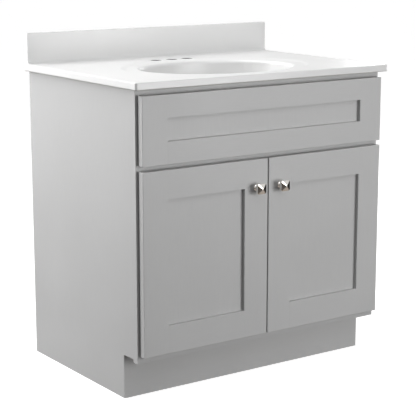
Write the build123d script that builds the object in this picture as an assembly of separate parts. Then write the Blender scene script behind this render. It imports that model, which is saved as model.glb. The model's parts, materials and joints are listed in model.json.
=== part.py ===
"""Bathroom vanity cabinet with two doors, a fixed false drawer front and a one-piece
cast top with an oval bowl.  Millimetres.

Drawing frame: x = 0 is the middle of the cabinet, +x is the right-hand side seen from
the front, y = 0 is the front face of the face frame, +y is the back, z = 0 is the floor.
The exported frame has the same axes, with its origin in the middle of the footprint.
"""

import math
import os

from build123d import *

# ---- cabinet box -------------------------------------------------------------------
cab_width = 762.0  # outside of one side panel to the outside of the other
cab_depth = 533.4  # front of the face frame to the back edge of the side panels
cab_height = 781.0  # floor to the underside of the vanity top
side_thick = 15.0
floor_thick = 12.0
dado_depth = 5.0
joint_play = 0.2  # slack in dados, mortises and panel grooves

# ---- toe kick ----------------------------------------------------------------------
kick_height = 106.0  # floor to the underside of the face frame
notch_lift = 8.0  # how far the side panel's notch is cut above that
kick_setback = 63.5  # front of the face frame to the front of the toe kick
kick_skin_thick = 3.0
kick_board_thick = 12.0

# ---- face frame --------------------------------------------------------------------
frame_thick = 19.0
frame_stile_width = 38.0
frame_rail_height = 38.0
frame_tenon_length = 12.0
frame_tenon_thick = 8.0
frame_tenon_shoulder = 6.0  # how far a tenon is set in from its rail's edges

# ---- doors and false front ---------------------------------------------------------
front_thick = 19.0
bumper_gap = 3.0  # back of a door to the face frame
door_overlay = 31.5  # doors past the inner edge of a stile, as the hinges need
top_reveal = 14.0  # underside of the vanity top to the false front
bottom_reveal = 19.0  # underside of the face frame to the bottom of a door
front_gap = 12.7  # doors to the false front
door_gap = 3.2  # left door to right door
false_front_height = 169.0
door_stile_width = 72.0
door_rail_height = 72.0
false_rail_height = 56.0
panel_recess = 10.0  # front of a door to the front of its panel
panel_thick = 6.0
groove_depth = 10.0
panel_edge_gap = 1.0  # room for the panel to swell in its groove
edge_radius = 1.5  # eased outer edges

# ---- back rails, corner braces, wall screws ----------------------------------------
back_rail_thick = 15.0
back_rail_top_height = 90.0
back_rail_bottom_height = 70.0
wall_screw_spacing = 406.4
wall_screw_radius = 2.5
brace_leg = 90.0
brace_thick = 15.0
brace_nose = 18.0  # width left square at each end of a brace's long side
dowel_radius = 4.0
dowel_length = 30.0
dowel_edge = 22.0  # dowel to the top or bottom edge of its rail
dowel_play = 0.1  # round a dowel, and at each of its ends

# ---- vanity top --------------------------------------------------------------------
slab_thick = 19.0
side_overhang = 12.7
front_overhang = 25.4
slab_edge_radius = 3.0
slab_corner_radius = 6.0
splash_height = 101.6  # underside of the slab to the top of the backsplash
splash_thick = 19.0
cove_radius = 9.0  # backsplash to deck
bowl_half_length = 216.0
bowl_half_width = 165.0
bowl_depth = 140.0  # deck to the floor of the bowl
bowl_wall = 9.0
bowl_centre_y = 205.0
dish_margin = 55.0  # shallow drip ring round the bowl, past the bowl's rim
dish_side_margin = 34.0
dish_depth = 2.5
dish_slope = 10.0
drain_radius = 22.3
drain_flat_radius = 34.0
drain_boss_radius = 40.0
drain_boss_height = 8.0
faucet_spacing = 50.8
faucet_hole_radius = 16.0
faucet_setback = 113.0  # back of the vanity top to the line of faucet holes

# ---- knobs -------------------------------------------------------------------------
knob_drop = 72.0  # top of a door to the middle of its knob
knob_size = 27.0
knob_corner_radius = 4.5
knob_back_size = 21.0
knob_projection = 28.0
knob_foot_radius = 8.5
knob_foot_thick = 2.5
knob_stem_radius = 5.5
knob_head_start = 14.0  # door face to the back of the square head
knob_bevel = 3.5  # depth of the back bevel of the head
knob_band = 6.0  # straight band round the head
knob_apex_size = 2.4
knob_apex_round = 0.6
knob_screw_radius = 2.0
knob_screw_reach = 11.0  # length of screw inside the knob
screw_play = 0.05  # radial, where a screw is driven home
pan_head_radius = 4.0
pan_head_height = 2.2

# ---- hinges ------------------------------------------------------------------------
cup_radius = 17.5
cup_edge = 2.5  # outer edge of the door to the edge of the cup bore
cup_depth = 13.0
cup_play = 0.1
cup_wall = 1.0
cup_floor = 0.8
flange_thick = 1.0
flange_half_height = 28.0
flange_start = 2.0  # cup centre to the near side of the flange
flange_width = 15.0
flange_corner = 3.0
cup_screw_offset = 9.5
cup_screw_half_spacing = 22.5
cup_screw_radius = 1.6
cup_screw_length = 11.0
cup_screw_head_radius = 3.4
cup_screw_head_height = 1.0
pin_inset = 7.0  # outer edge of the door to the hinge pin
pin_depth = 9.0  # back of the door to the hinge pin
pin_radius = 1.5
pin_half_length = 6.5
pin_seat_play = 0.02
knuckle_play = 0.06
knuckle_radius = 2.6
knuckle_half_height = 4.4
ear_gap = 0.2  # knuckle to ear
ear_thick = 1.2
ear_half_width = 2.2
ear_lap = 0.8  # how far an ear runs into the wall of the cup
arm_thick = 2.0
arm_dip = 1.5  # how far the arm drops below the pin inside the cup
arm_dip_length = 10.0
arm_neck_length = 12.5
arm_half_height = 7.0
plate_half_height = 18.0
plate_front = 1.0  # front of the face frame to the mounting plate
plate_back = 17.0
plate_screw_half_spacing = 11.0
plate_screw_radius = 1.5
plate_screw_length = 14.0
plate_screw_head_radius = 3.2
plate_screw_head_height = 1.6
hinge_inset = 75.0  # end of a door to the middle of a hinge

# ---- small hardware ----------------------------------------------------------------
bumper_radius = 5.0
bumper_play = 0.1  # bumper to face frame with the door shut
bumper_inset = 13.0  # bumper to the meeting edge of the door
spacer_radius = 6.0
spacer_hole_play = 0.3
front_screw_x = 250.0
front_screw_radius = 2.0
front_screw_bite = 13.0  # length of screw inside the false front

# ---- places worked out from the sizes above ----------------------------------------
half_width = cab_width / 2
inner_x = half_width - side_thick
opening_x = half_width - frame_stile_width
front_x = opening_x + door_overlay
frame_bottom = kick_height
notch_top = kick_height + notch_lift
kick_back = kick_setback + kick_skin_thick
floor_top = frame_bottom + frame_rail_height
floor_bottom = floor_top - floor_thick
back_y = cab_depth - back_rail_thick

fronts_back = -bumper_gap
fronts_face = fronts_back - front_thick
false_top = cab_height - top_reveal
false_bottom = false_top - false_front_height
door_top = false_bottom - front_gap
door_bottom = frame_bottom + bottom_reveal
mid_rail_bottom = door_top + front_gap / 2 - frame_rail_height / 2
mid_rail_top = mid_rail_bottom + frame_rail_height
top_rail_bottom = cab_height - frame_rail_height
door_inner_x = door_gap / 2

panel_face = fronts_face + panel_recess
panel_back = panel_face + panel_thick

deck = cab_height + slab_thick
splash_top = cab_height + splash_height
splash_face = cab_depth - splash_thick
faucet_y = cab_depth - faucet_setback
bowl_floor = deck - bowl_depth

knob_x = door_inner_x + door_stile_width / 2
knob_z = door_top - knob_drop
knob_reach = -fronts_face + knob_projection  # face frame to the tip of a knob

cup_x = -front_x + cup_edge + cup_radius
cup_bottom_y = fronts_back - cup_depth
pin_x = -front_x + pin_inset
pin_y = fronts_back - pin_depth
hinge_heights = {"bottom": door_bottom + hinge_inset, "top": door_top - hinge_inset}

footprint_middle = (cab_depth - max(knob_reach, front_overhang)) / 2


# ---- helpers -----------------------------------------------------------------------
def block(x, y, z):
    """A box from (low, high) pairs along x, y and z."""
    spans = (x, y, z)
    middle = [(low + high) / 2 for low, high in spans]
    size = [high - low for low, high in spans]
    return Pos(*middle) * Box(*size)


def rod(radius, start, length, direction):
    """A round bar from a start point, along a direction."""
    return Solid.make_cylinder(radius, length, Plane(origin=start, z_dir=direction))


def both_sides(piece):
    """The piece and its mirror image across the middle of the cabinet."""
    return [piece, mirror(piece, about=Plane.YZ)]


def save(name, *pieces):
    """Write the solids of one node, moved to the exported frame, as parts/NAME.step."""
    solids = [solid for piece in pieces for solid in piece.solids()]
    shape = solids[0] if len(solids) == 1 else Compound(children=solids)
    export_step(Pos(0, -footprint_middle, 0) * shape, f"parts/{name}.step")


def ease(piece, low, high):
    """Round the edges of a piece that are outer edges of the door or front it is in."""
    limits = list(zip(tuple(low), tuple(high)))

    def is_outer(edge):
        centre = tuple(edge.center())
        hits = sum(
            any(abs(value - limit) < 1e-4 for limit in pair)
            for value, pair in zip(centre, limits)
        )
        return hits >= 2 and edge.length > 4 * edge_radius

    radius = min(edge_radius, front_thick / 4)
    return fillet(piece.edges().filter_by(is_outer), radius)


# ---- carcass -----------------------------------------------------------------------
def dowels_and_holes(points, direction):
    """Dowels centred on points, and the holes for them."""
    axis = Vector(*direction)
    pegs = []
    holes = []
    for point in points:
        middle = Vector(*point)
        reach = dowel_length / 2
        pegs.append(rod(dowel_radius, middle - axis * reach, dowel_length, axis))
        hole_reach = reach + dowel_play
        start = middle - axis * hole_reach
        holes.append(rod(dowel_radius + dowel_play, start, 2 * hole_reach, axis))
    return pegs, holes


def back_rail_dowel_places():
    """Middles of the dowels at the left ends of the two back rails."""
    back_mid = back_y + back_rail_thick / 2
    heights = (
        cab_height - back_rail_top_height + dowel_edge,
        cab_height - dowel_edge,
        floor_top + dowel_edge,
        floor_top + back_rail_bottom_height - dowel_edge,
    )
    # a dowel goes only half-way through the side panel
    x = -inner_x + dowel_length / 2 - side_thick / 2
    return [(x, back_mid, z) for z in heights]


rail_pegs, rail_holes = dowels_and_holes(back_rail_dowel_places(), (1, 0, 0))


def side_panel():
    """Left side panel, with its toe-kick notch and the dado for the cabinet floor."""
    panel = block((-half_width, -inner_x), (frame_thick, cab_depth), (0, cab_height))
    panel -= block((-half_width, -inner_x), (frame_thick, kick_back), (0, notch_top))
    dado = block(
        (-inner_x - dado_depth, -inner_x),
        (frame_thick, cab_depth),
        (floor_bottom, floor_top + joint_play),
    )
    panel -= dado
    for hole in rail_holes:
        panel -= hole
    return panel


def cabinet_floor():
    reach = inner_x + dado_depth - joint_play
    return block((-reach, reach), (frame_thick, cab_depth), (floor_bottom, floor_top))


def back_rail(low, high, with_wall_screws):
    """A rail across the open back."""
    rail = block((-inner_x, inner_x), (back_y, cab_depth), (low, high))
    for hole in rail_holes:
        for cutter in both_sides(hole):
            rail -= cutter
    if with_wall_screws:
        for side in (-1, 1):
            start = (side * wall_screw_spacing / 2, back_y, (low + high) / 2)
            rail -= rod(wall_screw_radius, start, back_rail_thick, (0, 1, 0))
    return rail


def kick_board():
    y = (kick_back, kick_back + kick_board_thick)
    return block((-inner_x, inner_x), y, (0, floor_bottom))


def kick_skin():
    """Thin finished board over the toe kick and the front edges of the side panels."""
    return block((-half_width, half_width), (kick_setback, kick_back), (0, notch_top))


def corner_brace(x_sign, at_front):
    """Three-sided block under the vanity top, in one corner of the carcass."""
    y_wall = frame_thick if at_front else back_y
    y_step = 1 if at_front else -1
    x_wall = x_sign * inner_x
    points = [
        (x_wall, y_wall),
        (x_wall - x_sign * brace_leg, y_wall),
        (x_wall - x_sign * brace_leg, y_wall + y_step * brace_nose),
        (x_wall - x_sign * brace_nose, y_wall + y_step * brace_leg),
        (x_wall, y_wall + y_step * brace_leg),
    ]
    outline = make_face(Polyline(*points, close=True))
    return extrude(Pos(0, 0, cab_height - brace_thick) * outline, amount=brace_thick)


# ---- face frame --------------------------------------------------------------------
def frame_tenon(low, high, play=0.0):
    """Tenon at the left end of a frame rail, or its mortise when play is given."""
    y_mid = frame_thick / 2
    half = frame_tenon_thick / 2 + play / 2
    return block(
        (-opening_x - frame_tenon_length - play, -opening_x),
        (y_mid - half, y_mid + half),
        (low + frame_tenon_shoulder - play / 2, high - frame_tenon_shoulder + play / 2),
    )


frame_rails = {
    "bottom": (frame_bottom, floor_top),
    "middle": (mid_rail_bottom, mid_rail_top),
    "top": (top_rail_bottom, cab_height),
}


def frame_stile():
    """Left stile of the face frame."""
    stile = block((-half_width, -opening_x), (0, frame_thick), (frame_bottom, cab_height))
    for low, high in frame_rails.values():
        stile -= frame_tenon(low, high, joint_play)
    for z in hinge_heights.values():
        for side in (-1, 1):
            start = (-opening_x, plate_mid_y, z + side * plate_screw_half_spacing)
            hole_radius = plate_screw_radius + screw_play
            stile -= rod(hole_radius, start, plate_screw_length, (-1, 0, 0))
    return stile


def frame_rail(low, high, screw_heights):
    """A rail of the face frame, with clearance holes for the false front's screws."""
    rail = block((-opening_x, opening_x), (0, frame_thick), (low, high))
    for tenon in both_sides(frame_tenon(low, high)):
        rail += tenon
    for z in screw_heights:
        for x in (-front_screw_x, front_screw_x):
            hole_radius = front_screw_radius + spacer_hole_play
            rail -= rod(hole_radius, (x, 0, z), frame_thick, (0, 1, 0))
    return rail


# ---- five-piece fronts -------------------------------------------------------------
def framed_front(x, z, rail_height):
    """The five pieces of a recessed-panel front: two stiles, two rails and a panel."""
    low = (x[0], fronts_face, z[0])
    high = (x[1], fronts_back, z[1])
    y = (fronts_face, fronts_back)
    left_inner = x[0] + door_stile_width
    right_inner = x[1] - door_stile_width
    bottom_inner = z[0] + rail_height
    top_inner = z[1] - rail_height
    groove_y = (panel_face - joint_play, panel_back)
    tongue = groove_depth - joint_play

    left = block((x[0], left_inner), y, z)
    left -= block((left_inner - groove_depth, left_inner), groove_y, z)
    right = block((right_inner, x[1]), y, z)
    right -= block((right_inner, right_inner + groove_depth), groove_y, z)

    tongue_x = (left_inner - tongue, right_inner + tongue)
    tongue_y = (panel_face, panel_back)
    rail_x = (left_inner, right_inner)

    top = block(rail_x, y, (top_inner, z[1]))
    top += block(tongue_x, tongue_y, (top_inner, z[1]))
    top -= block(tongue_x, groove_y, (top_inner, top_inner + groove_depth))
    bottom = block(rail_x, y, (z[0], bottom_inner))
    bottom += block(tongue_x, tongue_y, (z[0], bottom_inner))
    bottom -= block(tongue_x, groove_y, (bottom_inner - groove_depth, bottom_inner))

    lap = groove_depth - panel_edge_gap
    panel = block(
        (left_inner - lap, right_inner + lap),
        tongue_y,
        (bottom_inner - lap, top_inner + lap),
    )
    return {
        "stile_left": ease(left, low, high),
        "stile_right": ease(right, low, high),
        "rail_top": ease(top, low, high),
        "rail_bottom": ease(bottom, low, high),
        "panel": panel,
    }


# ---- knobs -------------------------------------------------------------------------
def rounded_square(size, y):
    """A rounded square across the knob's axis, with corners in proportion."""
    corner = max(knob_apex_round, knob_corner_radius * size / knob_size)
    plane = Plane(origin=(0, y, 0), x_dir=(1, 0, 0), z_dir=(0, -1, 0))
    return plane * RectangleRounded(size, size, corner)


def knob():
    """Round stem and square head with four flat facets, at the left door's place."""
    head_back = fronts_face - knob_head_start
    band_back = head_back - knob_bevel
    band_front = band_back - knob_band
    tip = fronts_face - knob_projection
    head = loft([rounded_square(knob_back_size, head_back), rounded_square(knob_size, band_back)])
    head += extrude(rounded_square(knob_size, band_back), amount=knob_band)
    head += loft([rounded_square(knob_size, band_front), rounded_square(knob_apex_size, tip)])
    foot = rod(knob_foot_radius, (0, fronts_face, 0), knob_foot_thick, (0, -1, 0))
    stem = rod(knob_stem_radius, (0, fronts_face, 0), knob_head_start, (0, -1, 0))
    body = head + foot + stem
    body -= rod(
        knob_screw_radius + screw_play,
        (0, fronts_face, 0),
        knob_screw_reach + screw_play,
        (0, -1, 0),
    )
    return Pos(-knob_x, 0, knob_z) * body


def pan_screw(radius, head_radius, head_height, seat, length, direction):
    """A screw whose head stands on seat and whose shank runs along direction."""
    along = Vector(*direction)
    shank = rod(radius, seat, length, along)
    head = rod(head_radius, seat, head_height, along * -1)
    head = fillet(head.edges().sort_by(lambda e: (e.center() - Vector(*seat)).length)[-1:],
                  head_height / 2)
    return shank + head


def knob_screw():
    seat = (-knob_x, fronts_back, knob_z)
    length = front_thick + knob_screw_reach
    return pan_screw(
        knob_screw_radius, pan_head_radius, pan_head_height, seat, length, (0, -1, 0)
    )


# ---- hinges, left side -------------------------------------------------------------
plate_mid_y = (plate_front + plate_back) / 2
leg_x = -opening_x  # face of the stile's inner edge, where the arm's leg lies


def hinge_cup(z):
    """Pressed cup with its screw flange and the two ears that hold the pin."""
    shell = rod(cup_radius - cup_play, (cup_x, cup_bottom_y, z), cup_depth, (0, 1, 0))
    flange = block(
        (cup_x + flange_start, cup_x + flange_start + flange_width),
        (fronts_back, fronts_back + flange_thick),
        (z - flange_half_height, z + flange_half_height),
    )
    flange = fillet(flange.edges().filter_by(Axis.Y), flange_corner)
    rim = rod(cup_radius - cup_play, (cup_x, fronts_back, z), flange_thick, (0, 1, 0))
    inner_radius = cup_radius - cup_play - cup_wall
    floor_y = cup_bottom_y + cup_floor
    pocket_height = cup_depth - cup_floor + flange_thick
    pocket = rod(inner_radius, (cup_x, floor_y, z), pocket_height, (0, 1, 0))
    cup = shell + flange + rim - pocket
    ear_low = knuckle_half_height + ear_gap
    ear_high = ear_low + ear_thick
    reach = math.sqrt(inner_radius**2 - ear_high**2) + ear_lap
    for side in (-1, 1):
        heights = sorted((z + side * ear_low, z + side * ear_high))
        ear = block(
            (cup_x - reach, pin_x + ear_half_width),
            (floor_y, pin_y + ear_half_width),
            tuple(heights),
        )
        cup += ear
    cup -= rod(
        pin_radius + pin_seat_play,
        (pin_x, pin_y, z - pin_half_length),
        2 * pin_half_length,
        (0, 0, 1),
    )
    for side in (-1, 1):
        start = (cup_x + cup_screw_offset, fronts_back, z + side * cup_screw_half_spacing)
        cup -= rod(cup_screw_radius + screw_play, start, flange_thick, (0, 1, 0))
    return cup


def hinge_pin(z):
    return rod(pin_radius, (pin_x, pin_y, z - pin_half_length), 2 * pin_half_length, (0, 0, 1))


def hinge_arm(z):
    """Arm that turns on the pin inside the cup and is screwed to the stile's edge."""
    half = arm_thick / 2
    knuckle = rod(
        knuckle_radius, (pin_x, pin_y, z - knuckle_half_height), 2 * knuckle_half_height, (0, 0, 1)
    )
    dip = Vector(arm_dip_length, -arm_dip, 0)
    across = Vector(arm_dip, arm_dip_length, 0).normalized() * half
    pin = Vector(pin_x, pin_y, 0)
    corners = [pin + across, pin + dip + across, pin + dip - across, pin - across]
    slope = make_face(Polyline(*[(c.X, c.Y) for c in corners], close=True))
    slope = extrude(Pos(0, 0, z - knuckle_half_height) * slope, amount=2 * knuckle_half_height)
    low_y = pin_y - arm_dip - half
    level_y = (low_y, low_y + arm_thick)
    neck = block(
        (pin_x + arm_dip_length - half, pin_x + arm_neck_length),
        level_y,
        (z - knuckle_half_height, z + knuckle_half_height),
    )
    strap_z = (z - arm_half_height, z + arm_half_height)
    strap = block((pin_x + arm_neck_length, leg_x + arm_thick), level_y, strap_z)
    leg_span = (leg_x, leg_x + arm_thick)
    leg = block(leg_span, (low_y, plate_back), strap_z)
    plate = block(
        leg_span, (plate_front, plate_back), (z - plate_half_height, z + plate_half_height)
    )
    plate = fillet(plate.edges().filter_by(Axis.X), flange_corner)
    arm = knuckle + slope + neck + strap + leg + plate
    arm -= rod(
        pin_radius + knuckle_play,
        (pin_x, pin_y, z - knuckle_half_height),
        2 * knuckle_half_height,
        (0, 0, 1),
    )
    for side in (-1, 1):
        start = (leg_x, plate_mid_y, z + side * plate_screw_half_spacing)
        arm -= rod(plate_screw_radius + screw_play, start, arm_thick, (1, 0, 0))
    return arm


def cup_screws(z):
    return [
        pan_screw(
            cup_screw_radius,
            cup_screw_head_radius,
            cup_screw_head_height,
            (
                cup_x + cup_screw_offset,
                fronts_back + flange_thick,
                z + side * cup_screw_half_spacing,
            ),
            cup_screw_length,
            (0, -1, 0),
        )
        for side in (-1, 1)
    ]


def plate_screws(z):
    return [
        pan_screw(
            plate_screw_radius,
            plate_screw_head_radius,
            plate_screw_head_height,
            (leg_x + arm_thick, plate_mid_y, z + side * plate_screw_half_spacing),
            plate_screw_length,
            (-1, 0, 0),
        )
        for side in (-1, 1)
    ]


# ---- vanity top --------------------------------------------------------------------
def oval(half_length, half_width_y, z):
    return Pos(0, bowl_centre_y, z) * Ellipse(half_length, half_width_y)


def bowl_solid(growth, bottom, top):
    """Round-bottomed oval: the bowl's hollow, or its outer shape when grown."""
    steps = 7
    sections = []
    for step in range(steps + 1):
        share = step / steps
        shrink = math.cos(share * math.pi / 2) ** 0.62
        long_half = drain_flat_radius + (bowl_half_length - drain_flat_radius) * shrink
        short_half = drain_flat_radius + (bowl_half_width - drain_flat_radius) * shrink
        depth = math.sin(share * math.pi / 2) ** 1.15
        z = top - (top - bottom) * depth
        # never quite a circle, so that every section has the same kind of edge
        long_half = max(long_half, short_half * 1.002)
        sections.append(oval(long_half + growth, short_half + growth, z))
    return loft(sections)


def dish():
    """Shallow ring sunk into the deck round the bowl."""
    long_half = bowl_half_length + dish_margin
    short_half = bowl_half_width + dish_side_margin
    wide = oval(long_half, short_half, deck)
    narrow = oval(long_half - dish_slope, short_half - dish_slope, deck - dish_depth)
    return loft([wide, narrow], ruled=True)


def vanity_top():
    """Slab, backsplash and bowl, cast in one piece."""
    slab_x = half_width + side_overhang
    slab = block((-slab_x, slab_x), (-front_overhang, cab_depth), (cab_height, deck))
    front_corners = slab.edges().filter_by(Axis.Z).group_by(Axis.Y)[0]
    slab = fillet(front_corners, slab_corner_radius)
    splash = block((-slab_x, slab_x), (splash_face, cab_depth), (cab_height, splash_top))
    top = slab + splash
    cove_block = block(
        (-slab_x, slab_x), (splash_face - cove_radius, splash_face), (deck, deck + cove_radius)
    )
    cove_start = (-slab_x, splash_face - cove_radius, deck + cove_radius)
    cove_block -= rod(cove_radius, cove_start, 2 * slab_x, (1, 0, 0))
    top += cove_block
    outer = bowl_solid(bowl_wall, bowl_floor - bowl_wall, deck - slab_thick / 2)
    boss = rod(
        drain_boss_radius,
        (0, bowl_centre_y, bowl_floor - bowl_wall - drain_boss_height),
        drain_boss_height + bowl_wall / 2,
        (0, 0, 1),
    )
    top += outer
    top += boss
    top -= dish()
    top -= bowl_solid(0, bowl_floor, deck)
    drain_low = bowl_floor - bowl_wall - drain_boss_height
    top -= rod(drain_radius, (0, bowl_centre_y, drain_low), bowl_depth, (0, 0, 1))
    for step in (-1, 0, 1):
        start = (step * faucet_spacing, faucet_y, cab_height)
        top -= rod(faucet_hole_radius, start, slab_thick, (0, 0, 1))
    return top


def round_top_edges(top):
    """Ease the outer edges of the slab and of the backsplash."""
    slab_x = half_width + side_overhang

    def is_rim(edge):
        box = edge.bounding_box()
        flat = abs(box.max.Z - box.min.Z) < 1e-4
        level = abs(box.max.Z - deck) < 1e-4 or abs(box.max.Z - cab_height) < 1e-4
        front_edge = abs(box.max.Y + front_overhang) < slab_corner_radius + 1e-4
        side_edge = abs(box.max.X - box.min.X) < 1e-4 and abs(abs(box.max.X) - slab_x) < 1e-4
        splash_edge = abs(box.max.Z - splash_top) < 1e-4 and abs(box.max.Y - splash_face) < 1e-4
        upper = abs(box.max.Z - deck) < 1e-4 and box.max.Y < splash_face - cove_radius / 2
        under = abs(box.max.Z - cab_height) < 1e-4
        rim = flat and level and (front_edge or (side_edge and (upper or under)))
        return rim or (flat and splash_edge)

    return fillet(top.edges().filter_by(is_rim), slab_edge_radius)


# ---- small hardware ----------------------------------------------------------------
def door_bumpers():
    """Soft buttons on the back of the left door, at its meeting edge."""
    x = -door_inner_x - bumper_inset
    heights = (
        (door_bottom + floor_top) / 2,
        (mid_rail_bottom + door_top) / 2,
    )
    length = bumper_gap - bumper_play
    return [rod(bumper_radius, (x, fronts_back, z), length, (0, 1, 0)) for z in heights]


false_screw_heights = {
    "middle": (false_bottom + mid_rail_top) / 2,
    "top": (top_rail_bottom + false_top) / 2,
}


def false_front_spacers():
    """Washers that hold the false front off the face frame."""
    washers = []
    for z in false_screw_heights.values():
        for x in (-front_screw_x, front_screw_x):
            start = (x, fronts_back, z)
            washer = rod(spacer_radius, start, bumper_gap, (0, 1, 0))
            hole_radius = front_screw_radius + spacer_hole_play
            washers.append(washer - rod(hole_radius, start, bumper_gap, (0, 1, 0)))
    return washers


def false_front_screws():
    length = frame_thick + bumper_gap + front_screw_bite
    return [
        pan_screw(
            front_screw_radius,
            pan_head_radius,
            pan_head_height,
            (x, frame_thick, z),
            length,
            (0, -1, 0),
        )
        for z in false_screw_heights.values()
        for x in (-front_screw_x, front_screw_x)
    ]


def drill_false_front(pieces):
    """Pilot holes in the back of the false front's rails."""
    for piece, height in (("rail_bottom", "middle"), ("rail_top", "top")):
        for x in (-front_screw_x, front_screw_x):
            start = (x, fronts_back, false_screw_heights[height])
            hole_radius = front_screw_radius + screw_play
            depth = front_screw_bite + screw_play
            pieces[piece] -= rod(hole_radius, start, depth, (0, -1, 0))
    return pieces


def drill_door(pieces):
    """Cup bores and their screw holes in the outer stile, and the knob's hole."""
    outer = pieces["stile_left"]
    for z in hinge_heights.values():
        outer -= rod(cup_radius, (cup_x, cup_bottom_y, z), cup_depth, (0, 1, 0))
        for side in (-1, 1):
            x = cup_x + cup_screw_offset
            start = (x, fronts_back, z + side * cup_screw_half_spacing)
            depth = cup_screw_length - flange_thick + screw_play
            outer -= rod(cup_screw_radius + screw_play, start, depth, (0, -1, 0))
    pieces["stile_left"] = outer
    hole_radius = knob_screw_radius + screw_play
    start = (-knob_x, fronts_back, knob_z)
    pieces["stile_right"] -= rod(hole_radius, start, front_thick, (0, -1, 0))
    return pieces


# ---- build -------------------------------------------------------------------------
os.makedirs("parts", exist_ok=True)


def save_pair(name, pieces):
    """Write a left-hand node and its mirror image: NAME has a place for the side."""
    images = [both_sides(piece) for piece in pieces]
    save(name.format("left"), *[pair[0] for pair in images])
    save(name.format("right"), *[pair[1] for pair in images])


save_pair("side_panel_{}", [side_panel()])
save("cabinet_floor", cabinet_floor())
top_low = cab_height - back_rail_top_height
save("back_rail_top", back_rail(top_low, cab_height, True))
save("back_rail_bottom", back_rail(floor_top, floor_top + back_rail_bottom_height, False))
save("toe_kick_board", kick_board())
save("toe_kick_skin", kick_skin())
save("back_rail_dowels", *[peg for base in rail_pegs for peg in both_sides(base)])
for side_name, x_sign in (("left", -1), ("right", 1)):
    save(f"corner_brace_front_{side_name}", corner_brace(x_sign, True))
    save(f"corner_brace_back_{side_name}", corner_brace(x_sign, False))

save_pair("face_frame_stile_{}", [frame_stile()])
for place, (low, high) in frame_rails.items():
    heights = [z for key, z in false_screw_heights.items() if key == place]
    save(f"face_frame_rail_{place}", frame_rail(low, high, heights))

false_pieces = framed_front((-front_x, front_x), (false_bottom, false_top), false_rail_height)
for piece_name, piece in drill_false_front(false_pieces).items():
    save(f"false_front_{piece_name}", piece)
save("false_front_spacers", *false_front_spacers())
save("false_front_screws", *false_front_screws())

door = framed_front((-front_x, -door_inner_x), (door_bottom, door_top), door_rail_height)
door = drill_door(door)
door["outer_stile"] = door.pop("stile_left")
door["meeting_stile"] = door.pop("stile_right")
for piece_name, piece in door.items():
    save_pair("{}_door_" + piece_name, [piece])
save_pair("{}_door_knob", [knob()])
save_pair("{}_door_knob_screw", [knob_screw()])
save_pair("{}_door_bumpers", door_bumpers())

for place, z in hinge_heights.items():
    save_pair("{}_hinge_cup_" + place, [hinge_cup(z)])
    save_pair("{}_hinge_arm_" + place, [hinge_arm(z)])
save_pair("{}_hinge_pins", [hinge_pin(z) for z in hinge_heights.values()])
save_pair("{}_hinge_cup_screws", [s for z in hinge_heights.values() for s in cup_screws(z)])
save_pair("{}_hinge_arm_screws", [s for z in hinge_heights.values() for s in plate_screws(z)])

save("vanity_top", round_top_edges(vanity_top()))
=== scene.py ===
"""Looks for the bathroom vanity cabinet: satin grey doors and frame, board carcass,
one-piece cast top with an oval bowl, faceted knobs and concealed hinges.  Metres."""

import json
import math

import bmesh
import bpy
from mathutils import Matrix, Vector

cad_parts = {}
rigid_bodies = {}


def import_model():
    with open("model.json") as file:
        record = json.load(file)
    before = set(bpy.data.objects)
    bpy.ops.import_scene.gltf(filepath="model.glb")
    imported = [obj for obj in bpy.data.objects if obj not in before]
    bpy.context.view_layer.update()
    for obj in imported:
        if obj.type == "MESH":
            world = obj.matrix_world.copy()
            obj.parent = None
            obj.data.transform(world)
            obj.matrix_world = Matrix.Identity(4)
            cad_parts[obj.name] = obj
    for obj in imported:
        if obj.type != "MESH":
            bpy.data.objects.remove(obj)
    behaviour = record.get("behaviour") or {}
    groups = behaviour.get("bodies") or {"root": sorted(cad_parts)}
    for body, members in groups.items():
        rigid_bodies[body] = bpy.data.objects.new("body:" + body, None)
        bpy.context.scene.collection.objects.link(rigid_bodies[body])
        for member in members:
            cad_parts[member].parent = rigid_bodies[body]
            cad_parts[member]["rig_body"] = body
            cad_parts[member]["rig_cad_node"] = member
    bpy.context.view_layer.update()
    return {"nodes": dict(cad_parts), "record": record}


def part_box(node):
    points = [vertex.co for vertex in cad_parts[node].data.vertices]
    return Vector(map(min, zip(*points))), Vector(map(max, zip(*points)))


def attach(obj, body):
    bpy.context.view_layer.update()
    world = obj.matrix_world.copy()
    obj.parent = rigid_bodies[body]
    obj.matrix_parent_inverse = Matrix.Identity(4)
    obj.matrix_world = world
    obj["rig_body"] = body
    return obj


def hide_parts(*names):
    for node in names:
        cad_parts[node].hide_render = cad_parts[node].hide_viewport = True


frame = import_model()

MM = 0.001
nodes = frame["nodes"]
record = frame["record"]
body_of = {n: b for b, members in record["behaviour"]["bodies"].items() for n in members}
slot_of = {n: o.material_slots[0].material.name for n, o in nodes.items()}


# ---- working on one piece at a time --------------------------------------------------
def clear_selection():
    if bpy.context.object and bpy.context.object.mode != "OBJECT":
        bpy.ops.object.mode_set(mode="OBJECT")
    bpy.ops.object.select_all(action="DESELECT")


def take(piece):
    """Makes the piece the only one selected, and the active one."""
    clear_selection()
    piece.select_set(True)
    bpy.context.view_layer.objects.active = piece


def open_mesh(piece, kind="FACE"):
    take(piece)
    bpy.ops.object.mode_set(mode="EDIT")
    bpy.ops.mesh.select_mode(type=kind)
    bpy.ops.mesh.select_all(action="DESELECT")


def close_mesh():
    bpy.ops.object.mode_set(mode="OBJECT")


def pick(piece, kind, test):
    """Selects only the faces or edges that pass a test."""
    bpy.ops.mesh.select_mode(type=kind)
    bpy.ops.mesh.select_all(action="DESELECT")
    mesh = bmesh.from_edit_mesh(piece.data)
    mesh.normal_update()
    for part in mesh.faces if kind == "FACE" else mesh.edges:
        if test(part):
            part.select_set(True)
    mesh.select_flush_mode()
    bmesh.update_edit_mesh(piece.data)


def middle(part):
    if isinstance(part, bmesh.types.BMFace):
        return part.calc_center_median()
    return (part.verts[0].co + part.verts[1].co) / 2


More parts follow.
